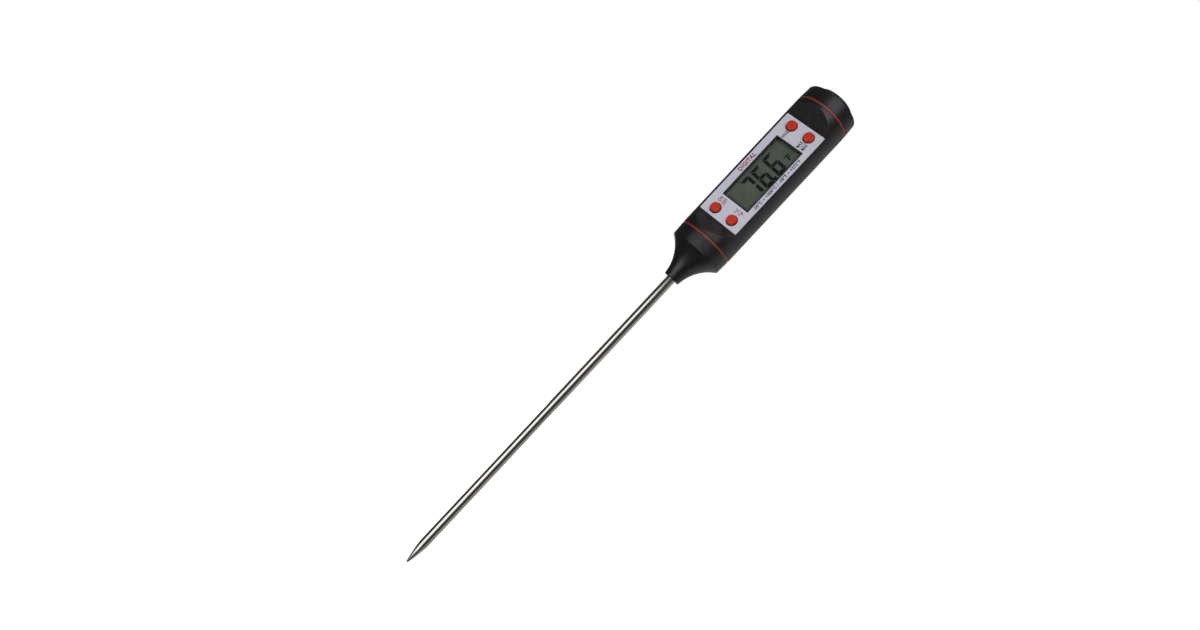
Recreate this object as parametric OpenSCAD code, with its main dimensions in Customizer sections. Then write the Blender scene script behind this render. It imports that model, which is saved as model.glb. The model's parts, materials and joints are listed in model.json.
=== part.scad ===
// Soil thermometer probe: a pointed steel stem on a round plastic handle with a display and four buttons.
// Lengths are in millimetres. The origin is where the stem leaves the nose. The stem runs down the
// Z axis, the end cap is at the top and the display faces -Y.

/* [Stem] */
// Outside diameter of the stem tube
stem_d = 3.8; // [3:0.1:5]
// Length of stem below the nose, tip included
stem_len = 147.4; // [100:0.1:200]
// Length of the pointed tip
tip_len = 9.2; // [4:0.1:12]
// Diameter of the blunt end of the tip
tip_end_d = 0.9; // [0.4:0.1:1.5]
// Radius of the slight outward curve of the tip
tip_curve_r = 80; // [50:5:200]
// Wall thickness of the stem tube
stem_wall = 0.5; // [0.4:0.05:0.6]

/* [Handle] */
// Outside diameter of the handle
handle_d = 23; // [22.5:0.1:26]
// Wall thickness of the two handle shells
shell_wall = 1.4; // [1.2:0.1:1.6]
// Length of the nose, from the stem to the lower ring
nose_len = 18.6; // [17:0.1:24]
// Diameter of the small end of the nose
collar_d = 6.8; // [6.4:0.1:8]
// Diameter of the shoulder where the flare of the nose ends
shoulder_d = 22.4; // [21.6:0.1:23]
// Length of the straight band at the wide end of the nose
band_len = 5.1; // [3:0.1:6]
// Radius of the hollow flare of the nose
flare_r = 17.5; // [16:0.5:40]
// Width of each coloured ring
ring_w = 1; // [0.6:0.1:2]
// Length of the shells between the two rings
shell_len = 64.15; // [62:0.05:70]
// Length of the end cap past the upper ring
cap_len = 5.45; // [5:0.05:8]

/* [Flat face] */
// Height of the middle of the flat face
face_z = 51.85; // [50:0.05:56]
// Length of the flat face between its two ramps
flat_len = 50.2; // [48:0.1:54]
// Distance of the flat face from the middle of the handle
flat_h = 5.8; // [5.6:0.1:6.4]
// Angle of the ramps at the ends of the flat face
ramp_angle = 45; // [35:1:60]
// Thickness of the wall behind the flat face
face_wall = 1.3; // [1:0.1:1.5]
// Length of the label
label_len = 48.9; // [46:0.1:52]
// Width of the label
label_w = 18.2; // [16:0.1:19]
// Length of the window in the label
window_len = 30.4; // [29:0.1:32]
// Width of the window in the label
window_w = 12.8; // [12:0.1:13.4]
// Distance of the window from the middle line of the label
window_shift = 0.25; // [0:0.05:0.6]
// Width of the shell's rim that shows inside the window
window_rim = 0.6; // [0.4:0.1:1]

/* [Buttons] */
// Diameter of a button
button_d = 3.9; // [3:0.1:4]
// Height of a button above the label
button_proud = 1.3; // [1:0.1:2.5]
// Distance between the two buttons of a pair
button_gap = 8.3; // [7.8:0.1:9]
// Distance between the two pairs of buttons
button_pitch = 42.2; // [41.5:0.1:43]

/* [Battery door] */
// Diameter of the head of the battery door
door_d = 15.2; // [15.2:0.1:18]
// Height of the head of the battery door
door_head = 2.1; // [1.6:0.1:3]
// Number of grip notches around the door
door_notches = 28; // [16:1:40]

/* [Hidden] */
$fn = 96;

// Extra length that carries a cut past the face it opens
cut = 1;

// Stem, with a thinner neck that is held inside the nose
stem_r = stem_d / 2;
stem_bore_r = stem_r - stem_wall;
neck_r = stem_r - 0.35;
neck_bore_r = 1.1;
neck_len = 12;
tip_top_z = tip_len - stem_len;
tip_spigot_len = 3;
ferrule_r = 3.1;
ferrule_z0 = 5;
ferrule_z1 = 10;

// Temperature sensor and its two wires
bead_r = 0.9;
bead_z = tip_top_z + tip_spigot_len + 1.5;
potting_len = 7;
lead_r = 0.4;
lead_x = 0.5;
sleeve_r = 1.05;
sleeve_z0 = 8;
sleeve_z1 = 20;

// Handle radii
handle_r = handle_d / 2;
inner_r = handle_r - shell_wall;
ring_r = handle_r - 0.15;
band_r = handle_r - 0.05;
collar_r = collar_d / 2;
shoulder_r = shoulder_d / 2;
edge = 0.3;
fine_edge = 0.15;
seam_notch = 0.2;

// Handle heights
shoulder_z = nose_len - band_len;
shell_z0 = nose_len + ring_w;
shell_z1 = shell_z0 + shell_len;
cap_z0 = shell_z1 + ring_w;
cap_z1 = cap_z0 + cap_len;
spigot_gap = 0.05;
spigot_out_r = inner_r - spigot_gap;
spigot_wall = 1.5;
spigot_r = inner_r - spigot_wall;
spigot_z0 = nose_len + 6;
spigot_z1 = cap_z0 - 6;
nose_hollow_z = 15;

// End cap
cap_end_r = handle_r - 0.35;
cap_edge = 0.6;
cap_wall = 2;
door_bore_r = 6.7;
o_ring_seat_r = 7.5;
o_ring_thick_r = 0.4;

// Battery door, cell and its cradle
door_r = door_d / 2;
door_plug_r = 6.4;
door_nose_r = 5.6;
door_nose_z = cap_z1 - 4.3;
door_nose_top_z = cap_z1 - 1.85;
coin_slot = [1.6, 10, 1.1];
notch_r = 0.45;
cell_r = 5.8;
cell_h = 5.4;
cell_z0 = door_nose_z - cell_h - 0.3;
cell_cap_r = 4.6;
cell_groove = 0.3;
cradle_r = 7.6;
cradle_bore_r = 5.95;
cradle_floor_z = cell_z0 - 0.8;
cradle_z0 = cradle_floor_z - 3.6;
cradle_z1 = cap_z1 - cap_wall;
strip_w = 2.4;
strip_t = 0.3;
tail_w = 1.6;
tail_y = 3;
tail_drop = 1.2;
contact_r = 3.6;
contact_t = 0.25;
battery_wire_r = 0.4;
tail_wire_x = 0.6;
battery_wire_z = cradle_z0 - 7;
bend_r = 1.2;

// Circuit board
board_t = 1;
board_front_h = 0.6;
board_back_h = board_front_h - board_t;
board_w = 18;
board_z0 = spigot_z0 + 0.5;
board_z1 = cradle_z0;
board_slot_len = 3;
rail_x = 8;
rail_len = 30;
rail_h = 2.6;

// Screws and the posts they go into
screw_r = 0.6;
screw_head_r = 1.5;
screw_head_h = 0.9;
screw_len = 3;
screw_slot_w = 0.4;
post_r = 1.3;

// Buttons and switches, heights measured from the middle of the handle towards the front
label_t = 0.2;
label_h = flat_h + label_t;
face_inner_h = flat_h - face_wall;
button_r = button_d / 2;
button_hole_r = button_r + 0.35;
button_top_h = label_h + button_proud;
flange_r = button_r + 0.65;
flange_h0 = 3.6;
flange_h1 = 4.2;
button_dimple_r = 0.4;
button_dimple = 0.15;
switch_w = 4.8;
switch_h = 2.1;
switch_floor_h = 0.9;
plunger_r = 1;
plunger_gap = 0.3;
plunger_h0 = 1.7;
plunger_h1 = 2.75;

// Display, from the lens at the front back to the board
frame_wall = 1;
glass_w = 14.4;
glass_len = 32.6;
rear_glass_w = 12.6;
polarizer_len = 31.4;
lens_h0 = 3.8;
polarizer_h = 3.7;
glass_top_h = 3.5;
glass_mid_h = 2.9;
glass_low_h = 2.2;
reflector_h0 = 2;
foam_w = 11;
foam_len = 30;
zebra_len = 28;

// Small parts on the back of the board
blob_r = 4.5;
blob_h = 1.6;
blob_z = face_z - 4;
can_r = 1;
can_len = 6;
can_x = 6;
chip = [1.2, 2, 0.6];
chip_spots = [[-6, -12], [-6, -8], [-6, 8], [6.2, -10], [3.4, 9], [-3.4, 9]];

steel = [0.75, 0.75, 0.73];
black_plastic = [0.13, 0.12, 0.13];
ring_red = [0.75, 0.25, 0.17];
button_red = [0.85, 0.25, 0.16];
label_grey = [0.80, 0.80, 0.85];
board_green = [0.10, 0.35, 0.20];
gold = [0.80, 0.65, 0.30];
glass = [0.75, 0.80, 0.78];
rubber = [0.10, 0.10, 0.10];

// ---------- shared helpers ----------

// A tube standing on the Z axis from z0 to z1
module tube(r_out, r_in, z0, z1) {
    difference() {
        translate([0, 0, z0]) cylinder(r = r_out, h = z1 - z0);
        translate([0, 0, z0 - cut]) cylinder(r = r_in, h = z1 - z0 + 2 * cut);
    }
}

// A solid drum on the Z axis with both rims bevelled by e
module bevelled_drum(r, z0, z1, e) {
    rotate_extrude()
        polygon([[0, z0], [r - e, z0], [r, z0 + e], [r, z1 - e], [r - e, z1], [0, z1]]);
}

// A post from height h0 to h1 whose top rim is rounded by e
module rounded_post(r, h0, h1, e) {
    rotate_extrude() {
        translate([0, h0]) square([r, h1 - e - h0]);
        translate([0, h0]) square([r - e, h1 - h0]);
        translate([r - e, h1 - e]) circle(r = e, $fn = 48);
    }
}

// Turns a part drawn upwards so that up points to the front, at x and dz from the middle of the face
module on_face(x, dz) {
    translate([x, 0, face_z + dz]) rotate([90, 0, 0]) children();
}

// A plate on the face, w across and len along the handle, between two heights
module slab(w, len, h0, h1) {
    translate([-w / 2, -len / 2, h0]) cube([w, len, h1 - h0]);
}

// Centre of a circle of radius r through a and b, to the right of the way from a to b
function arc_centre(a, b, r) =
    let (chord = b - a, right = [chord[1], -chord[0]] / norm(chord))
    (a + b) / 2 + right * sqrt(pow(r, 2) - pow(norm(chord) / 2, 2));

// Height reached by a ramp at depth y, with the ramp moved into the handle by d
function ramp_run(y, d) = (y + handle_r) / tan(ramp_angle) - d / sin(ramp_angle);

// Everything in front of the flat face and its ramps, with that surface moved into the handle by d
module face_cut(d) {
    crown_run = (handle_r - flat_h) / tan(ramp_angle);
    z0 = face_z - flat_len / 2 - crown_run;
    z1 = face_z + flat_len / 2 + crown_run;
    outside_y = -2 * handle_r;
    flat_y = d - flat_h;
    rotate([0, -90, 0])
        linear_extrude(3 * handle_r, center = true)
            polygon([
                [z0 + ramp_run(outside_y, d), outside_y],
                [z0 + ramp_run(flat_y, d), flat_y],
                [z1 - ramp_run(flat_y, d), flat_y],
                [z1 - ramp_run(outside_y, d), outside_y]
            ]);
}

// The sleeve of the nose or the cap that slips inside the shells
module spigot(z0, z1) {
    difference() {
        tube(spigot_out_r, spigot_r, z0, z1);
        face_cut(face_wall + spigot_gap);
    }
}

// ---------- stem and sensor ----------

module stem_tube() {
    color(steel)
        difference() {
            union() {
                translate([0, 0, tip_top_z]) cylinder(r = stem_r, h = -tip_top_z);
                cylinder(r = neck_r, h = neck_len);
            }
            translate([0, 0, tip_top_z - cut]) cylinder(r = stem_bore_r, h = -tip_top_z);
            translate([0, 0, -cut]) cylinder(r = neck_bore_r, h = neck_len + 2 * cut);
        }
}

// Outline of the point: a slightly bulging taper that ends in a small ball
module tip_outline() {
    end_r = tip_end_d / 2;
    foot = [end_r, end_r - stem_len];
    head = [stem_r, tip_top_z];
    intersection() {
        translate(arc_centre(head, foot, tip_curve_r)) circle(r = tip_curve_r, $fn = 720);
        translate([0, foot[1]]) square([stem_r, head[1] - foot[1]]);
    }
    intersection() {
        translate([0, foot[1]]) circle(r = end_r, $fn = 90);
        translate([0, -stem_len]) square(end_r);
    }
}

module stem_tip() {
    color(steel) {
        rotate_extrude() tip_outline();
        translate([0, 0, tip_top_z]) cylinder(r = stem_bore_r, h = tip_spigot_len);
    }
}

module stem_ferrule() {
    color(gold) tube(ferrule_r, neck_r, ferrule_z0, ferrule_z1);
}

module bead_shape() {
    translate([0, 0, bead_z]) sphere(r = bead_r);
}

module thermistor_bead() {
    color([0.15, 0.13, 0.12]) bead_shape();
}

// A sensor wire, from the middle of the bead up into the slot in the board
module lead_run(side) {
    translate([side * lead_x, 0, bead_z])
        cylinder(r = lead_r, h = board_z0 + board_slot_len - bead_z, $fn = 48);
}

module lead_wire(side) {
    difference() {
        lead_run(side);
        bead_shape();
    }
}

module thermistor_potting() {
    color([0.85, 0.83, 0.75])
        difference() {
            translate([0, 0, tip_top_z + tip_spigot_len])
                cylinder(r = stem_bore_r, h = potting_len);
            bead_shape();
            lead_run(-1);
            lead_run(1);
        }
}

module lead_wire_a() {
    color([0.80, 0.15, 0.12]) lead_wire(-1);
}

module lead_wire_b() {
    color([0.90, 0.90, 0.88]) lead_wire(1);
}

module lead_sleeve() {
    color(rubber)
        difference() {
            translate([0, 0, sleeve_z0]) cylinder(r = sleeve_r, h = sleeve_z1 - sleeve_z0);
            lead_run(-1);
            lead_run(1);
        }
}

// ---------- handle ----------

// Outline of the nose: a straight-sided blank with the hollow flare taken out by a circle
module nose_outline() {
    difference() {
        polygon([
            [0, 0], [collar_r - edge, 0], [collar_r, edge],
            [shoulder_r, shoulder_z], [band_r, nose_len], [0, nose_len]
        ]);
        translate(arc_centre([collar_r, edge], [shoulder_r, shoulder_z], flare_r))
            circle(r = flare_r, $fn = 360);
    }
}

module nose_cone() {
    color(black_plastic) {
        difference() {
            rotate_extrude() nose_outline();
            translate([0, 0, -cut]) cylinder(r = neck_r, h = nose_len);
            translate([0, 0, ferrule_z0]) cylinder(r = ferrule_r, h = ferrule_z1 - ferrule_z0);
            translate([0, 0, ferrule_z1])
                cylinder(r1 = ferrule_r, r2 = spigot_r, h = nose_hollow_z - ferrule_z1);
            translate([0, 0, nose_hollow_z]) cylinder(r = spigot_r, h = nose_len);
        }
        spigot(nose_len, spigot_z0);
    }
}

module ring(z0) {
    color(ring_red)
        difference() {
            bevelled_drum(ring_r, z0, z0 + ring_w, fine_edge);
            translate([0, 0, z0 - cut]) cylinder(r = inner_r, h = ring_w + 2 * cut);
        }
}

module lower_ring() {
    ring(nose_len);
}

module upper_ring() {
    ring(shell_z1);
}

// The whole middle of the handle as one hollow body, before it is split into two shells
module shell_body() {
    difference() {
        bevelled_drum(handle_r, shell_z0, shell_z1, fine_edge);
        face_cut(0);
        difference() {
            translate([0, 0, shell_z0 - cut]) cylinder(r = inner_r, h = shell_len + 2 * cut);
            face_cut(face_wall);
        }
        for (side = [-1, 1])
            translate([side * handle_r, 0, shell_z0 - cut])
                rotate(45)
                    translate([-seam_notch / 2, -seam_notch / 2, 0])
                        cube([seam_notch, seam_notch, shell_len + 2 * cut]);
    }
}

// The half of the handle in front of (-1) or behind (1) the parting plane
module half_space(side) {
    translate([-handle_d, side > 0 ? 0 : -2 * handle_d, shell_z0 - cut])
        cube([2 * handle_d, 2 * handle_d, shell_len + 2 * cut]);
}

module button_spots() {
    for (x = [-1, 1], dz = [-1, 1])
        on_face(x * button_gap / 2, dz * button_pitch / 2) children();
}

module screw_spots() {
    for (dz = [-1, 1])
        on_face(0, dz * button_pitch / 2) children();
}

module front_shell() {
    color(black_plastic)
        difference() {
            union() {
                intersection() {
                    shell_body();
                    half_space(-1);
                }
                screw_spots()
                    translate([0, 0, board_front_h])
                        cylinder(r = post_r, h = flat_h - face_wall / 2 - board_front_h);
            }
            on_face(window_shift, 0)
                slab(window_w - 2 * window_rim, window_len - 2 * window_rim, 0, handle_r);
            button_spots() cylinder(r = button_hole_r, h = handle_r);
            screw_spots() cylinder(r = screw_r, h = board_back_h + screw_len + 1);
        }
}

module rear_shell() {
    color(black_plastic) {
        intersection() {
            shell_body();
            half_space(1);
        }
        for (side = [-1, 1])
            intersection() {
                translate([side > 0 ? rail_x : -rail_x - handle_r, -board_back_h, face_z - rail_len / 2])
                    cube([handle_r, rail_h, rail_len]);
                translate([0, 0, shell_z0]) cylinder(r = inner_r + shell_wall / 2, h = shell_len);
            }
    }
}

// ---------- end cap, battery and door ----------

module end_cap_outline() {
    corner = [cap_end_r - cap_edge, cap_z1 - cap_edge];
    polygon([
        [0, cap_z0], [band_r, cap_z0], [cap_end_r, corner[1]], corner, [corner[0], cap_z1], [0, cap_z1]
    ]);
    translate(corner) circle(r = cap_edge, $fn = 48);
}

module end_cap() {
    color(black_plastic) {
        difference() {
            rotate_extrude() end_cap_outline();
            translate([0, 0, cap_z0 - cut]) cylinder(r = spigot_r, h = cap_len - cap_wall + cut);
            translate([0, 0, cap_z0]) cylinder(r = door_bore_r, h = cap_len + cut);
            translate([0, 0, cap_z1 - 2 * o_ring_thick_r])
                cylinder(r = o_ring_seat_r, h = 2 * o_ring_thick_r + cut);
        }
        spigot(spigot_z1, cap_z0);
    }
}

module battery_door() {
    color(black_plastic) {
        difference() {
            rounded_post(door_r, cap_z1, cap_z1 + door_head, edge);
            for (i = [0 : door_notches - 1])
                rotate(i * 360 / door_notches)
                    translate([door_r + notch_r / 3, 0, cap_z1 + door_head / 4])
                        cylinder(r = notch_r, h = door_head + cut, $fn = 24);
            translate([-coin_slot[0] / 2, -coin_slot[1] / 2, cap_z1 + door_head - coin_slot[2]])
                cube([coin_slot[0], coin_slot[1], coin_slot[2] + cut]);
        }
        translate([0, 0, door_nose_top_z]) cylinder(r = door_plug_r, h = cap_z1 - door_nose_top_z);
        translate([0, 0, door_nose_z]) cylinder(r = door_nose_r, h = door_nose_top_z - door_nose_z);
    }
}

module door_o_ring() {
    color(rubber)
        rotate_extrude()
            translate([o_ring_seat_r - o_ring_thick_r - 0.05, cap_z1 - o_ring_thick_r])
                circle(r = o_ring_thick_r, $fn = 48);
}

module positive_strip() {
    translate([-strip_w / 2, cell_r, cradle_z0 - tail_drop])
        cube([strip_w, strip_t, cell_z0 + cell_h - cradle_z0 + tail_drop - 1]);
}

module negative_tail() {
    translate([-tail_w / 2, tail_y, cradle_z0 - tail_drop])
        cube([tail_w, strip_t, cradle_floor_z - cradle_z0 + tail_drop + contact_t / 2]);
}

module battery_cradle() {
    color([0.90, 0.90, 0.87])
        difference() {
            translate([0, 0, cradle_z0]) cylinder(r = cradle_r, h = cradle_z1 - cradle_z0);
            translate([0, 0, cradle_floor_z])
                cylinder(r = cradle_bore_r, h = cradle_z1 - cradle_floor_z + cut);
            face_cut(face_wall);
            positive_strip();
            negative_tail();
        }
}

module button_cell() {
    color(steel)
        difference() {
            rounded_post(cell_r, cell_z0, cell_z0 + cell_h, edge);
            tube(cell_r + cut, cell_cap_r, cell_z0 - cut, cell_z0 + cell_groove);
        }
}

module positive_contact() {
    color(gold) positive_strip();
}

module negative_contact() {
    color(gold) {
        translate([0, 0, cradle_floor_z]) cylinder(r = contact_r, h = contact_t);
        translate([0, 0, cradle_floor_z + contact_t])
            cylinder(r1 = contact_r * 0.6, r2 = contact_r * 0.35, h = cell_z0 - cradle_floor_z - contact_t);
        negative_tail();
    }
}

// A wire that drops from the tail of a battery contact at depth y and turns in to the back of the board
module battery_wire(side, y) {
    run_y = y - battery_wire_r;
    turn_z = battery_wire_z + bend_r;
    translate([side * tail_wire_x, 0, 0]) {
        translate([0, run_y, turn_z])
            cylinder(r = battery_wire_r, h = cradle_z0 - 0.3 - turn_z, $fn = 48);
        translate([0, run_y - bend_r, turn_z])
            rotate([-90, 0, 0]) rotate([0, -90, 0])
                rotate_extrude(angle = 90)
                    translate([bend_r, 0]) circle(r = battery_wire_r, $fn = 48);
        translate([0, -board_back_h, battery_wire_z])
            rotate([-90, 0, 0])
                cylinder(r = battery_wire_r, h = run_y - bend_r + board_back_h, $fn = 48);
    }
}

module battery_wire_red() {
    color([0.80, 0.10, 0.10]) battery_wire(1, cell_r);
}

module battery_wire_black() {
    color(rubber) battery_wire(-1, tail_y);
}

// ---------- label and display ----------

module face_label() {
    color(label_grey)
        difference() {
            on_face(0, 0) slab(label_w, label_len, flat_h, label_h);
            on_face(window_shift, 0) slab(window_w, window_len, 0, handle_r);
            button_spots() cylinder(r = button_hole_r, h = handle_r);
        }
}

module display_lens() {
    color(glass, 0.4)
        on_face(0, 0) slab(glass_w, glass_len, lens_h0, face_inner_h);
}

module display_frame() {
    color(rubber)
        on_face(0, 0)
            difference() {
                slab(glass_w + 2 * frame_wall, glass_len + 2 * frame_wall, board_front_h, face_inner_h);
                slab(glass_w, glass_len, 0, handle_r);
            }
}

module lcd_polarizer() {
    color([0.45, 0.48, 0.42])
        on_face(0, 0) slab(rear_glass_w, polarizer_len, glass_top_h, polarizer_h);
}

module lcd_front_glass() {
    color(glass, 0.6)
        on_face(0, 0) slab(glass_w, glass_len, glass_mid_h, glass_top_h);
}

module lcd_rear_glass() {
    color(glass, 0.6)
        on_face(0, 0) slab(rear_glass_w, glass_len, glass_low_h, glass_mid_h);
}

module lcd_reflector() {
    color([0.70, 0.72, 0.68])
        on_face(0, 0) slab(rear_glass_w, glass_len, reflector_h0, glass_low_h);
}

module lcd_foam_pad() {
    color([0.95, 0.95, 0.92])
        on_face(0, 0) slab(foam_w, foam_len, board_front_h, reflector_h0);
}

module zebra_strip(side) {
    strip = (glass_w - rear_glass_w) / 2;
    color([0.75, 0.30, 0.50])
        on_face(side * (glass_w - strip) / 2, 0) slab(strip, zebra_len, board_front_h, glass_mid_h);
}

module zebra_strip_left() {
    zebra_strip(-1);
}

module zebra_strip_right() {
    zebra_strip(1);
}

// ---------- circuit board ----------

module circuit_board() {
    color(board_green)
        difference() {
            translate([-board_w / 2, -board_front_h, board_z0])
                cube([board_w, board_t, board_z1 - board_z0]);
            translate([-lead_x - lead_r, -board_front_h - cut, board_z0 - cut])
                cube([2 * (lead_x + lead_r), board_t + 2 * cut, board_slot_len + cut]);
            screw_spots()
                translate([0, 0, board_back_h - cut]) cylinder(r = screw_r + 0.1, h = board_t + 2 * cut);
        }
}

// The sealed controller is a shallow dome on the back of the board
module controller_blob() {
    dome_r = (pow(blob_r, 2) + pow(blob_h, 2)) / (2 * blob_h);
    color(rubber)
        intersection() {
            translate([0, blob_h - board_back_h - dome_r, blob_z]) sphere(r = dome_r);
            translate([-2 * blob_r, -board_back_h, blob_z - 2 * blob_r])
                cube([4 * blob_r, 2 * blob_h, 4 * blob_r]);
        }
}

module crystal_can() {
    color(steel)
        translate([can_x, can_r - board_back_h, face_z + 4]) cylinder(r = can_r, h = can_len);
}

module chip_components() {
    color([0.25, 0.22, 0.20])
        for (spot = chip_spots)
            translate([spot[0] - chip[0] / 2, -board_back_h, face_z + spot[1] - chip[1] / 2])
                cube([chip[0], chip[2], chip[1]]);
}

module board_screws() {
    color(steel)
        screw_spots() {
            difference() {
                translate([0, 0, board_back_h - screw_head_h])
                    cylinder(r = screw_head_r, h = screw_head_h);
                for (turn = [0, 90])
                    rotate(turn)
                        translate([-screw_head_r / 2, -screw_slot_w / 2, board_back_h - screw_head_h - cut])
                            cube([screw_head_r, screw_slot_w, screw_head_h / 2 + cut]);
            }
            translate([0, 0, board_back_h]) cylinder(r = screw_r, h = screw_len + 0.5);
        }
}

// ---------- buttons and switches ----------

// side picks the left (-1) or right (1) of a pair, row the lower (-1) or upper (1) pair
module on_button(side, row) {
    on_face(side * button_gap / 2, row * button_pitch / 2) children();
}

module button(side, row) {
    color(button_red)
        on_button(side, row) {
            difference() {
                rounded_post(button_r, plunger_h1, button_top_h, edge);
                translate([0, 0, button_top_h - button_dimple])
                    cylinder(r = button_dimple_r, h = cut);
            }
            translate([0, 0, flange_h0]) cylinder(r = flange_r, h = flange_h1 - flange_h0);
        }
}

module switch_base(side, row) {
    color(rubber)
        on_button(side, row)
            difference() {
                slab(switch_w, switch_w, board_front_h, switch_h);
                translate([0, 0, switch_floor_h]) cylinder(r = plunger_r + plunger_gap, h = switch_h);
            }
}

module switch_plunger(side, row) {
    color([0.85, 0.82, 0.75])
        on_button(side, row)
            translate([0, 0, plunger_h0]) cylinder(r = plunger_r, h = plunger_h1 - plunger_h0);
}

module power_button() {
    button(-1, -1);
}

module units_button() {
    button(1, -1);
}

module hold_button() {
    button(-1, 1);
}

module max_min_button() {
    button(1, 1);
}

module power_switch_base() {
    switch_base(-1, -1);
}

module units_switch_base() {
    switch_base(1, -1);
}

module hold_switch_base() {
    switch_base(-1, 1);
}

module max_min_switch_base() {
    switch_base(1, 1);
}

module power_switch_plunger() {
    switch_plunger(-1, -1);
}

module units_switch_plunger() {
    switch_plunger(1, -1);
}

module hold_switch_plunger() {
    switch_plunger(-1, 1);
}

module max_min_switch_plunger() {
    switch_plunger(1, 1);
}

stem_tube();
stem_tip();
stem_ferrule();
thermistor_bead();
thermistor_potting();
lead_wire_a();
lead_wire_b();
lead_sleeve();
nose_cone();
lower_ring();
front_shell();
rear_shell();
upper_ring();
end_cap();
battery_door();
door_o_ring();
battery_cradle();
button_cell();
positive_contact();
negative_contact();
battery_wire_red();
battery_wire_black();
face_label();
display_lens();
display_frame();
lcd_polarizer();
lcd_front_glass();
lcd_rear_glass();
lcd_reflector();
lcd_foam_pad();
zebra_strip_left();
zebra_strip_right();
circuit_board();
controller_blob();
crystal_can();
chip_components();
board_screws();
power_button();
units_button();
hold_button();
max_min_button();
power_switch_base();
units_switch_base();
hold_switch_base();
max_min_switch_base();
power_switch_plunger();
units_switch_plunger();
hold_switch_plunger();
max_min_switch_plunger();
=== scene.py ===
"""Looks of the soil thermometer probe: its materials, print, display digits, light and camera.

Lengths are in metres, in the part's own frame: the stem runs down from the origin, +Z goes up to
the end cap and the display faces -Y. Print and digits read along +Z with their tops towards -X.
"""

import json
import math

import bmesh
import bpy
from mathutils import Matrix, Vector


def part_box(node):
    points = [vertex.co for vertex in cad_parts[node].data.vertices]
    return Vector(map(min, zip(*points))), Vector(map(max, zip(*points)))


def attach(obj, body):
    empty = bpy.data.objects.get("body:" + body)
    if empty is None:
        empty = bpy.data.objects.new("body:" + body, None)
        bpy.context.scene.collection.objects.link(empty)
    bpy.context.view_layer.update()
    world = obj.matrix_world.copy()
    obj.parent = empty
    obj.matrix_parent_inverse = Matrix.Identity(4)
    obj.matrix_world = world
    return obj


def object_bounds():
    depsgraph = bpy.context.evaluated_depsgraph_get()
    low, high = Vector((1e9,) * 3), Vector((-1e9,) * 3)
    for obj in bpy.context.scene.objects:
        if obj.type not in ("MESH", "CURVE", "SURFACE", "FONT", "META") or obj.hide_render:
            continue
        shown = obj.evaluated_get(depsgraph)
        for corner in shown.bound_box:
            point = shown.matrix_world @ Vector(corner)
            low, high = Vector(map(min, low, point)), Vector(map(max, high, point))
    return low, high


MM = 0.001

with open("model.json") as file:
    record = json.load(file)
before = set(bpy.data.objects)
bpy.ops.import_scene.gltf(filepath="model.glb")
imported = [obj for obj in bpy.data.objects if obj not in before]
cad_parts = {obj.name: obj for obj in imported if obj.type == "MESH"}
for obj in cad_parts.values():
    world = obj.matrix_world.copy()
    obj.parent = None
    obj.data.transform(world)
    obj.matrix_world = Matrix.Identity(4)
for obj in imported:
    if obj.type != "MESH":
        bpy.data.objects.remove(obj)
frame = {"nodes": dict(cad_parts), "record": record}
record = frame["record"]
cad_box = [list(corner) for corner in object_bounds()]


# ---------- materials ----------

# How far the roughness of moulded plastic swings either way
GLOSS_SWING = 0.05
# Size of the soft clouds in moulded plastic, in grains, and of the tarnish on metal, in tool lines
CLOUD_GRAINS = 8
TARNISH_LINES = 120
# Refractive index of the clear panes
CLEAR_IOR = 1.45

def colour(red, green, blue):
    """A linear colour from the usual 0 to 255 screen values."""

    def linear(value):
        v = value / 255
        return v / 12.92 if v <= 0.04045 else ((v + 0.055) / 1.055) ** 2.4

    return (linear(red), linear(green), linear(blue), 1.0)


def scaled(rgba, factor):
    """The same colour, lighter or darker."""
    return tuple(min(1.0, c * factor) for c in rgba[:3]) + (1.0,)


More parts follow.
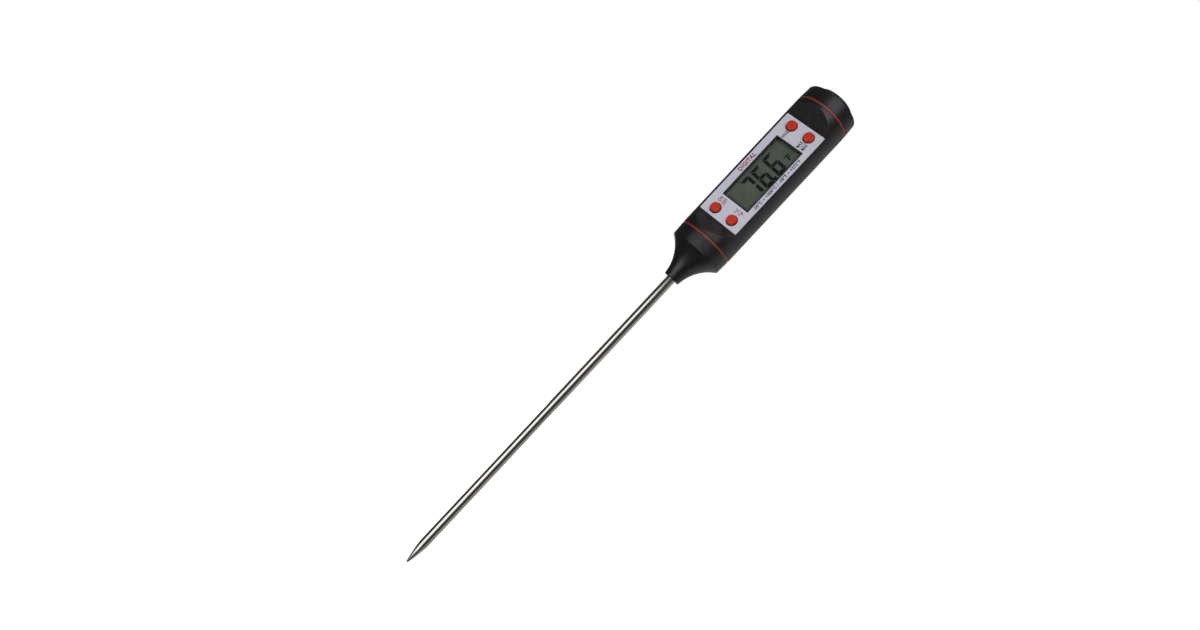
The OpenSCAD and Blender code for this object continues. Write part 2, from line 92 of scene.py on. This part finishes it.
class Surface:
    """A material being built: one Principled shader and the texture nodes that feed it."""

    def __init__(self, name, base, roughness, metallic=0.0, shine=0.5):
        self.material = bpy.data.materials.new(name)
        self.material.use_nodes = True
        self.nodes = self.material.node_tree.nodes
        self.links = self.material.node_tree.links
        self.shader = self.nodes["Principled BSDF"]
        self.shader.inputs["Base Color"].default_value = base
        self.shader.inputs["Roughness"].default_value = roughness
        self.shader.inputs["Metallic"].default_value = metallic
        self.shader.inputs["Specular IOR Level"].default_value = shine
        self.place = self.nodes.new("ShaderNodeTexCoord").outputs["Object"]

    def noise(self, size, stretch=(1, 1, 1), detail=2.0):
        """Noise from 0 to 1 whose blobs are about size across, drawn out along each axis."""
        mapping = self.nodes.new("ShaderNodeMapping")
        mapping.inputs["Scale"].default_value = [1 / (size * s) for s in stretch]
        texture = self.nodes.new("ShaderNodeTexNoise")
        texture.inputs["Scale"].default_value = 1.0
        texture.inputs["Detail"].default_value = detail
        self.links.new(self.place, mapping.inputs["Vector"])
        self.links.new(mapping.outputs["Vector"], texture.inputs["Vector"])
        return texture.outputs[0]

    def spread(self, value, low, high):
        """Turns the middle range of a noise into a value between low and high."""
        ramp = self.nodes.new("ShaderNodeMapRange")
        ramp.inputs["From Min"].default_value = 0.3
        ramp.inputs["From Max"].default_value = 0.7
        ramp.inputs["To Min"].default_value = low
        ramp.inputs["To Max"].default_value = high
        self.links.new(value, ramp.inputs["Value"])
        return ramp.outputs["Result"]

    def mix(self, factor, first, second):
        """A colour that goes from the first colour to the second as factor goes from 0 to 1."""
        node = self.nodes.new("ShaderNodeMix")
        node.data_type = "RGBA"
        self.links.new(factor, node.inputs[0])
        ends = [s for s in node.inputs if s.type == "RGBA"]
        for socket, value in zip(ends, (first, second)):
            if isinstance(value, tuple):
                socket.default_value = value
            else:
                self.links.new(value, socket)
        return [s for s in node.outputs if s.type == "RGBA"][0]

    def feed(self, socket, value):
        """Drives one socket of the shader from a texture."""
        self.links.new(value, self.shader.inputs[socket])

    def relief(self, *layers):
        """Bump from layers of (height, depth in metres), laid one over another."""
        below = None
        for height, depth in layers:
            node = self.nodes.new("ShaderNodeBump")
            node.inputs["Distance"].default_value = depth
            self.links.new(height, node.inputs["Height"])
            if below is not None:
                self.links.new(below, node.inputs["Normal"])
            below = node.outputs["Normal"]
        self.feed("Normal", below)


def moulded(name, base, roughness, grain=0.6 * MM, depth=0.04 * MM, tones=(0.85, 1.12)):
    """Moulded plastic or rubber: an eroded grain with darker and paler specks and uneven gloss."""
    s = Surface(name, base, roughness)
    speck = s.noise(grain, detail=4.0)
    cloud = s.noise(grain * CLOUD_GRAINS, detail=3.0)
    s.feed("Base Color", s.mix(s.spread(speck, 0, 1), scaled(base, tones[0]), scaled(base, tones[1])))
    s.feed("Roughness", s.spread(speck, roughness - GLOSS_SWING, roughness + GLOSS_SWING))
    s.relief((speck, depth), (cloud, depth))
    return s.material


def ground_metal(name, base, roughness, line=0.05 * MM, depth=0.0006 * MM, across=(12, 12, 1)):
    """Ground or plated metal: fine tool lines, drawn out along two axes, and faint tarnish."""
    s = Surface(name, base, roughness, metallic=1.0)
    lines = s.noise(line, stretch=across, detail=3.0)
    tarnish = s.noise(line * TARNISH_LINES, detail=4.0)
    s.feed("Base Color", s.mix(s.spread(tarnish, 0, 1), scaled(base, 0.9), scaled(base, 1.06)))
    s.feed("Roughness", s.spread(lines, roughness * 0.75, roughness * 1.3))
    s.relief((lines, depth))
    return s.material


def printed_film(name, base):
    """Silvery label film: a fine metallic fleck under a slightly wavy satin coat."""
    s = Surface(name, base, 0.42, metallic=0.1)
    fleck = s.noise(0.6 * MM, detail=4.0)
    wave = s.noise(4 * MM, detail=3.0)
    tint = s.mix(s.spread(wave, 0, 1), scaled(base, 0.95), scaled(base, 1.03))
    s.feed("Base Color", s.mix(s.spread(fleck, 0, 1), tint, scaled(base, 0.88)))
    s.feed("Roughness", s.spread(fleck, 0.36, 0.5))
    s.relief((fleck, 0.003 * MM), (wave, 0.02 * MM))
    return s.material


def crystal_face(name, base):
    """Front of the display: grey-green with the fine speckle of its polarising film."""
    s = Surface(name, base, 0.5, shine=0.15)
    fine = s.noise(0.6 * MM, detail=4.0)
    broad = s.noise(2.5 * MM, detail=3.0)
    tint = s.mix(s.spread(broad, 0, 1), scaled(base, 0.88), scaled(base, 1.08))
    s.feed("Base Color", s.mix(s.spread(fine, 0, 0.7), tint, scaled(base, 1.7)))
    s.feed("Roughness", s.spread(fine, 0.42, 0.6))
    s.relief((fine, 0.004 * MM))
    return s.material


def clear_pane(name, base, roughness):
    """Clear plastic or glass that lets light through to what lies under it."""
    s = Surface(name, base, roughness)
    s.shader.inputs["Transmission Weight"].default_value = 1.0
    s.shader.inputs["IOR"].default_value = CLEAR_IOR
    haze = s.noise(3 * MM, detail=3.0)
    s.feed("Roughness", s.spread(haze, roughness, roughness + 0.03))
    s.relief((haze, 0.003 * MM))
    path = s.nodes.new("ShaderNodeLightPath")
    clear = s.nodes.new("ShaderNodeBsdfTransparent")
    clear.inputs["Color"].default_value = base
    choice = s.nodes.new("ShaderNodeMixShader")
    s.links.new(path.outputs["Is Shadow Ray"], choice.inputs[0])
    s.links.new(s.shader.outputs[0], choice.inputs[1])
    s.links.new(clear.outputs[0], choice.inputs[2])
    s.links.new(choice.outputs[0], s.nodes["Material Output"].inputs["Surface"])
    return s.material


def ink(name, base, shine=0.5):
    """Screen-printed ink with the slight unevenness of a thin layer."""
    s = Surface(name, base, 0.5, shine=shine)
    patch = s.noise(0.15 * MM, detail=3.0)
    s.feed("Base Color", s.mix(s.spread(patch, 0, 1), scaled(base, 0.85), scaled(base, 1.25)))
    s.feed("Roughness", s.spread(patch, 0.42, 0.6))
    s.relief((patch, 0.002 * MM))
    return s.material


BLACK = colour(18, 16, 19)
BLACK_TONES = (0.2, 3.5)
RING_RED = colour(146, 58, 40)
BUTTON_RED = colour(224, 54, 22)
LABEL_SILVER = colour(240, 240, 252)
LCD_GREEN = colour(75, 82, 71)
STEEL = colour(180, 178, 174)
PRINT_RED = colour(158, 18, 34)
PRINT_BLACK = colour(12, 10, 18)
DIGIT_GREY = colour(6, 6, 11)

SURFACES = {
    "nose_plastic": moulded("nose_plastic", BLACK, 0.36, tones=BLACK_TONES),
    "shell_plastic": moulded("shell_plastic", BLACK, 0.37, tones=BLACK_TONES),
    "cap_plastic": moulded("cap_plastic", BLACK, 0.36, tones=BLACK_TONES),
    "door_plastic": moulded("door_plastic", BLACK, 0.38, tones=BLACK_TONES),
    "ring_plastic": moulded("ring_plastic", RING_RED, 0.4, tones=(0.75, 1.25)),
    "button_plastic": moulded("button_plastic", BUTTON_RED, 0.38, tones=(0.7, 1.3)),
    "stem_steel": ground_metal("stem_steel", STEEL, 0.12),
    "tip_steel": ground_metal("tip_steel", scaled(STEEL, 0.95), 0.15, line=0.08 * MM),
    "label_film": printed_film("label_film", LABEL_SILVER),
    "lens_clear": clear_pane("lens_clear", (0.97, 0.98, 0.97, 1.0), 0.02),
    "lcd_face": crystal_face("lcd_face", LCD_GREEN),
    "lcd_glass": clear_pane("lcd_glass", (0.9, 0.94, 0.92, 1.0), 0.02),
    "reflector_foil": ground_metal("reflector_foil", colour(190, 192, 186), 0.4),
    "frame_plastic": moulded("frame_plastic", scaled(BLACK, 0.8), 0.55),
    "brass": ground_metal("brass", colour(214, 178, 96), 0.28),
    "sensor_epoxy": moulded("sensor_epoxy", colour(30, 26, 24), 0.2, depth=0.004 * MM),
    "potting_resin": moulded("potting_resin", colour(214, 206, 178), 0.5),
    "red_insulation": moulded("red_insulation", colour(190, 34, 28), 0.35, depth=0.004 * MM),
    "white_insulation": moulded("white_insulation", colour(226, 225, 218), 0.35, depth=0.004 * MM),
    "black_insulation": moulded("black_insulation", colour(28, 28, 30), 0.35, depth=0.004 * MM),
    "black_sleeve": moulded("black_sleeve", colour(26, 26, 27), 0.6),
    "white_foam": moulded("white_foam", colour(236, 236, 230), 0.9, grain=0.5 * MM, depth=0.1 * MM),
    "zebra_rubber": moulded("zebra_rubber", colour(176, 92, 128), 0.6, grain=0.1 * MM),
    "board_green": moulded("board_green", colour(34, 104, 58), 0.35, grain=0.4 * MM),
    "controller_epoxy": moulded("controller_epoxy", colour(22, 22, 24), 0.22, grain=1.2 * MM),
    "can_metal": ground_metal("can_metal", colour(208, 208, 204), 0.3),
    "chip_ceramic": moulded("chip_ceramic", colour(74, 62, 54), 0.5, grain=0.1 * MM),
    "screw_steel": ground_metal("screw_steel", colour(196, 196, 190), 0.3),
    "switch_plastic": moulded("switch_plastic", colour(30, 30, 32), 0.5),
    "plunger_plastic": moulded("plunger_plastic", colour(206, 198, 178), 0.45),
    "cradle_plastic": moulded("cradle_plastic", colour(222, 222, 214), 0.5),
    "cell_steel": ground_metal("cell_steel", colour(206, 206, 204), 0.22),
    "contact_metal": ground_metal("contact_metal", colour(206, 190, 142), 0.3),
    "seal_rubber": moulded("seal_rubber", colour(22, 22, 22), 0.6, depth=0.004 * MM),
}
RED_INK = ink("red_ink", PRINT_RED, shine=0.2)
BLACK_INK = ink("black_ink", PRINT_BLACK, shine=0.2)
DIGIT_INK = ink("digit_ink", DIGIT_GREY, shine=0.05)


def dress_cad_nodes():
    """Gives every CAD node the surface of its slot in the record."""
    for part in record["subparts"]:
        data = frame["nodes"][part["node"]].data
        data.materials.clear()
        data.materials.append(SURFACES[part["material_slot"]])


# ---------- print and digits ----------

# Turns a drawing (x along the text, y up the letters) onto the face: x to +Z, y to -X, z to -Y
ONTO_FACE = Matrix(((0, -1, 0, 0), (0, 0, -1, 0), (1, 0, 0, 0), (0, 0, 0, 1)))

INK_RELIEF = 0.012 * MM
# How far each letter's outline is moved out to make it bolder, as a share of the letter size
LETTER_WEIGHT = 0.03
LETTER_SPACING = 1.15


def middle(node):
    """The middle of a node's box."""
    low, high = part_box(node)
    return (low + high) / 2


def front(node):
    """The Y of a node's front face."""
    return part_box(node)[0].y


def face_matrix(x, y, z):
    """Lays a drawing on the face with its own origin at x, y, z."""
    return Matrix.Translation((x, y, z)) @ ONTO_FACE


def add_mesh(name, bm, surface):
    """Turns a bmesh into a finished piece that rides on the handle, with one surface and slot."""
    mesh = bpy.data.meshes.new(name)
    bm.normal_update()
    bm.to_mesh(mesh)
    bm.free()
    mesh.materials.append(surface)
    piece = bpy.data.objects.new(name, mesh)
    bpy.context.scene.collection.objects.link(piece)
    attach(piece, "handle")


def add_words(bm, words, width, height, x, y, z):
    """Adds words to bm, stretched to the given width and height, with their middle at x, y, z."""
    curve = bpy.data.curves.new("words", "FONT")
    curve.body = words
    curve.extrude = INK_RELIEF / 2
    curve.offset = LETTER_WEIGHT
    curve.space_character = LETTER_SPACING
    holder = bpy.data.objects.new("words", curve)
    bpy.context.scene.collection.objects.link(holder)
    graph = bpy.context.evaluated_depsgraph_get()
    mesh = bpy.data.meshes.new_from_object(holder.evaluated_get(graph))
    xs = [v.co.x for v in mesh.vertices]
    ys = [v.co.y for v in mesh.vertices]
    grow = Matrix.Diagonal((width / (max(xs) - min(xs)), height / (max(ys) - min(ys)), 1, 1))
    centred = Matrix.Translation((-(max(xs) + min(xs)) / 2, -(max(ys) + min(ys)) / 2, 0))
    mesh.transform(face_matrix(x, y, z) @ grow @ centred)
    bm.from_mesh(mesh)
    bpy.data.objects.remove(holder)
    bpy.data.curves.remove(curve)
    bpy.data.meshes.remove(mesh)


def add_outline(bm, points, thickness, matrix):
    """Adds a flat shape with a little thickness, from its corners in order."""
    top = [bm.verts.new(matrix @ Vector((u, v, thickness))) for u, v in points]
    foot = [bm.verts.new(matrix @ Vector((u, v, 0))) for u, v in points]
    bm.faces.new(top)
    for i in range(len(points)):
        j = (i + 1) % len(points)
        bm.faces.new((foot[i], foot[j], top[j], top[i]))


WORD_H = 1.3 * MM
WORD_W = {
    "ON": 2.0 * MM,
    "OFF": 2.4 * MM,
    "\u00b0C": 1.9 * MM,
    "\u00b0F": 1.9 * MM,
    "HOLD": 3.1 * MM,
    "MAX": 2.8 * MM,
    "MIN": 2.6 * MM,
}
LINE_GAP = 2.2 * MM
RULE_W = 0.12 * MM
WORD_TO_BUTTON = 3.95 * MM
# How far the black words stand to the right of their buttons
BLACK_SHIFT = 0.2 * MM

# The title and the range line run along the two long edges of the label
EDGE_LINE_X = 7.65 * MM
TITLE = "DIGITAL"
TITLE_W = 8.9 * MM
TITLE_H = 1.8 * MM
TITLE_RISE = 0.2 * MM
RANGE = "-50\u00b0C ~ +300\u00b0C / -58\u00b0F ~ +572\u00b0F"
RANGE_W = 25.2 * MM
RANGE_H = 1.4 * MM
RANGE_DROP = 0.3 * MM


def add_two_lines(bm, upper, lower, x, y, z):
    """Adds two words with a thin rule between them."""
    add_words(bm, upper, WORD_W[upper], WORD_H, x - LINE_GAP / 2, y, z)
    add_words(bm, lower, WORD_W[lower], WORD_H, x + LINE_GAP / 2, y, z)
    half = max(WORD_W[upper], WORD_W[lower]) / 2
    rule = [(-half, -RULE_W / 2), (half, -RULE_W / 2), (half, RULE_W / 2), (-half, RULE_W / 2)]
    add_outline(bm, rule, INK_RELIEF / 2, face_matrix(x, y, z))


def print_label():
    """Prints what each button does and the range in both units."""
    y = front("face_label") - INK_RELIEF / 2
    face_z = middle("face_label").z
    power, units = middle("power_button"), middle("units_button")
    hold, max_min = middle("hold_button"), middle("max_min_button")

    red = bmesh.new()
    add_words(red, TITLE, TITLE_W, TITLE_H, -EDGE_LINE_X, y, face_z + TITLE_RISE)
    add_two_lines(red, "ON", "OFF", power.x, y, power.z + WORD_TO_BUTTON)
    add_two_lines(red, "\u00b0C", "\u00b0F", units.x, y, units.z + WORD_TO_BUTTON)
    add_mesh("label_print_red", red, RED_INK)

    black = bmesh.new()
    add_words(black, "HOLD", WORD_W["HOLD"], WORD_H, hold.x + BLACK_SHIFT, y, hold.z - WORD_TO_BUTTON)
    add_two_lines(black, "MAX", "MIN", max_min.x + BLACK_SHIFT, y, max_min.z - WORD_TO_BUTTON)
    add_words(black, RANGE, RANGE_W, RANGE_H, EDGE_LINE_X, y, face_z - RANGE_DROP)
    add_mesh("label_print_black", black, BLACK_INK)


# Display digits: which of the seven bars each figure lights, and where each figure starts
BARS_LIT = {"7": "abc", "6": "acdefg"}
READING = (("7", -8.7 * MM), ("6", -3.0 * MM), ("6", 3.4 * MM))
DIGIT_H = 9.8 * MM
DIGIT_W = 4.6 * MM
BAR_W = 1.4 * MM
# Share of its own room that a bar fills, which leaves a hairline between neighbours
BAR_FILL = 0.94
DIGIT_SLANT = math.radians(5.5)
DIGIT_FOOT = 5.3 * MM
POINT_START = 2.1 * MM
UNIT_START = 9.9 * MM
UNIT_FOOT = 3.9 * MM
UNIT_H = 2.7 * MM
UNIT_BAR = 0.65 * MM
# The unit is a small bar for the degree sign and then an F: its upright and the end of its arms
UPRIGHT_START = 1.3 * UNIT_BAR
UPRIGHT_END = 2.3 * UNIT_BAR
ARM_END = 4 * UNIT_BAR


def add_bar(bm, corners, matrix):
    """Adds one dark bar of the display, a little smaller than the room it has."""
    points = [Vector(corner) for corner in corners]
    centre = sum(points, Vector((0, 0))) / len(points)
    outline = [centre + (point - centre) * BAR_FILL for point in points]
    add_outline(bm, outline, INK_RELIEF, matrix)


def block(left, right, low, high):
    """The corners of an upright rectangle."""
    return ((left, low), (right, low), (right, high), (left, high))


def digit_bars(figure):
    """The mitred bars of one figure, from its lower left corner."""
    wide, high, bar = DIGIT_W, DIGIT_H, BAR_W
    inner, top, waist = wide - bar, high - bar, high / 2
    under, over = waist - bar / 2, waist + bar / 2
    bars = {
        "a": ((0, high), (bar, top), (inner, top), (wide, high)),
        "b": ((wide, high), (inner, top), (inner, over), (wide, waist)),
        "c": ((wide, waist), (inner, under), (inner, bar), (wide, 0)),
        "d": ((0, 0), (wide, 0), (inner, bar), (bar, bar)),
        "e": ((0, 0), (bar, bar), (bar, under), (0, waist)),
        "f": ((0, waist), (bar, over), (bar, top), (0, high)),
        "g": ((0, waist), (bar, under), (inner, under), (wide, waist), (inner, over), (bar, over)),
    }
    return [bars[name] for name in BARS_LIT[figure]]


def draw_digits():
    """The reading on the display, 76.6 and its unit."""
    y = front("lcd_polarizer")
    window = middle("lcd_polarizer")
    lean = Matrix.Identity(4)
    lean[0][1] = math.tan(DIGIT_SLANT)
    bm = bmesh.new()
    for figure, start in READING:
        corner = face_matrix(window.x + DIGIT_FOOT, y, window.z + start) @ lean
        for bar in digit_bars(figure):
            add_bar(bm, bar, corner)
    point = face_matrix(window.x + DIGIT_FOOT, y, window.z + POINT_START)
    add_bar(bm, block(-BAR_W / 2, BAR_W / 2, 0, BAR_W), point)

    unit = face_matrix(window.x + UNIT_FOOT, y, window.z + UNIT_START) @ lean
    top, waist = UNIT_H - UNIT_BAR, UNIT_H / 2
    for strip in (
        block(0, UNIT_BAR, top, UNIT_H),
        block(UPRIGHT_START, UPRIGHT_END, 0, UNIT_H),
        block(UPRIGHT_END, ARM_END, top, UNIT_H),
        block(UPRIGHT_END, ARM_END, waist - UNIT_BAR / 2, waist + UNIT_BAR / 2),
    ):
        add_bar(bm, strip, unit)
    add_mesh("display_digits", bm, DIGIT_INK)


# ---------- floor, light and camera ----------

FLOOR_R = 3.0
FLOOR_DROP = 0.3 * MM
# Brightness of the dim room that lights the object where no lamp does
ROOM_GLOW = 0.09
WHITE = (1.0, 1.0, 1.0, 1.0)

# The camera stands near the front of the display, a little to its right, level with the middle
CAMERA_TURN = math.radians(23.3)
CAMERA_TILT = math.radians(0.5)
CAMERA_ROLL = math.radians(43.06)
CAMERA_FAR = 314.2 * MM
CAMERA_AIM_Z = -28.6 * MM
CAMERA_SIDE = 10.42 * MM
CAMERA_LENS = 24.7


def lay_floor():
    """A plain white round floor just under the point, which the camera sees but nothing is lit by."""
    bm = bmesh.new()
    bmesh.ops.create_circle(bm, cap_ends=True, segments=96, radius=FLOOR_R)
    mesh = bpy.data.meshes.new("floor")
    bm.to_mesh(mesh)
    bm.free()
    floor = bpy.data.objects.new("floor", mesh)
    bpy.context.scene.collection.objects.link(floor)
    floor.location.z = cad_box[0][2] - FLOOR_DROP
    s = Surface("floor_paint", (0.9, 0.9, 0.9, 1.0), 0.8)
    s.feed("Roughness", s.spread(s.noise(0.02), 0.75, 0.85))
    s.shader.inputs["Emission Color"].default_value = WHITE
    s.shader.inputs["Emission Strength"].default_value = 1.0
    mesh.materials.append(s.material)
    floor.visible_glossy = False
    floor.visible_diffuse = False
    floor.visible_transmission = False


def direction(azimuth, elevation):
    """Unit vector from the object to a place round it; azimuth 0 is straight in front."""
    a, e = math.radians(azimuth), math.radians(elevation)
    return Vector((math.sin(a) * math.cos(e), -math.cos(a) * math.cos(e), math.sin(e)))


def softbox(name, azimuth, elevation, width, height, glow, distance=0.7, tint=(1, 1, 1)):
    """A flat rectangular light that faces the object; glow is how bright its surface looks."""
    light = bpy.data.lights.new(name, "AREA")
    light.shape = "RECTANGLE"
    light.size = width
    light.size_y = height
    light.energy = glow * math.pi * width * height
    light.color = tint
    lamp = bpy.data.objects.new(name, light)
    bpy.context.scene.collection.objects.link(lamp)
    centre = Vector((0, 0, (cad_box[0][2] + cad_box[1][2]) / 2))
    outwards = direction(azimuth, elevation)
    lamp.location = centre + outwards * distance
    lamp.rotation_mode = "QUATERNION"
    lamp.rotation_quaternion = outwards.to_track_quat("Z", "Y")
    lamp.visible_camera = False


def light_studio():
    """A softbox on each side of the camera, weak light from the far side and the ends, a strip behind."""
    softbox("key_light", -13, -20, width=0.62, height=0.7, glow=2.05, tint=(1.0, 0.99, 0.98))
    softbox("upper_light", 27, 27, width=0.6, height=0.3, glow=2.75, tint=(0.96, 0.96, 1.04))
    softbox("side_light", 135, -8, width=1.6, height=1.3, glow=0.46, tint=(1.0, 0.98, 0.93))
    softbox("top_light", 0, 72, width=0.6, height=0.6, glow=0.4, distance=0.8)
    softbox("low_light", 0, -66, width=0.7, height=0.7, glow=0.15, distance=0.8)
    softbox("back_light", 203, 10, width=0.3, height=0.9, glow=2.5)


def set_world():
    """White where the camera looks past the object, and a dim room for everything else."""
    world = bpy.data.worlds.new("studio")
    bpy.context.scene.world = world
    world.use_nodes = True
    nodes, links = world.node_tree.nodes, world.node_tree.links
    room = nodes["Background"]
    room.inputs["Color"].default_value = WHITE
    room.inputs["Strength"].default_value = ROOM_GLOW
    backdrop = nodes.new("ShaderNodeBackground")
    backdrop.inputs["Color"].default_value = WHITE
    path = nodes.new("ShaderNodeLightPath")
    choice = nodes.new("ShaderNodeMixShader")
    links.new(path.outputs["Is Camera Ray"], choice.inputs[0])
    links.new(room.outputs[0], choice.inputs[1])
    links.new(backdrop.outputs[0], choice.inputs[2])
    links.new(choice.outputs[0], nodes["World Output"].inputs["Surface"])
    bpy.context.scene.view_settings.view_transform = "Standard"


def place_camera():
    """Puts the camera square to the stem and rolls it, so the object lies across the picture."""
    turn, tilt, roll = CAMERA_TURN, CAMERA_TILT, CAMERA_ROLL
    side = Vector((math.cos(turn), math.sin(turn), 0))
    level = Vector((math.sin(turn), -math.cos(turn), 0))
    back = level * math.cos(tilt) - Vector((0, 0, math.sin(tilt)))
    stem_up = level * math.sin(tilt) + Vector((0, 0, math.cos(tilt)))
    right = stem_up * math.sin(roll) + side * math.cos(roll)
    up = stem_up * math.cos(roll) - side * math.sin(roll)
    data = bpy.data.cameras.new("camera")
    data.lens = CAMERA_LENS
    data.clip_start = 0.01
    camera = bpy.data.objects.new("camera", data)
    bpy.context.scene.collection.objects.link(camera)
    camera.matrix_world = Matrix((right, up, back)).transposed().to_4x4()
    camera.location = Vector((0, 0, CAMERA_AIM_Z)) + back * CAMERA_FAR - side * CAMERA_SIDE
    bpy.context.scene.camera = camera


dress_cad_nodes()
print_label()
draw_digits()
lay_floor()
light_studio()
set_world()
place_camera()
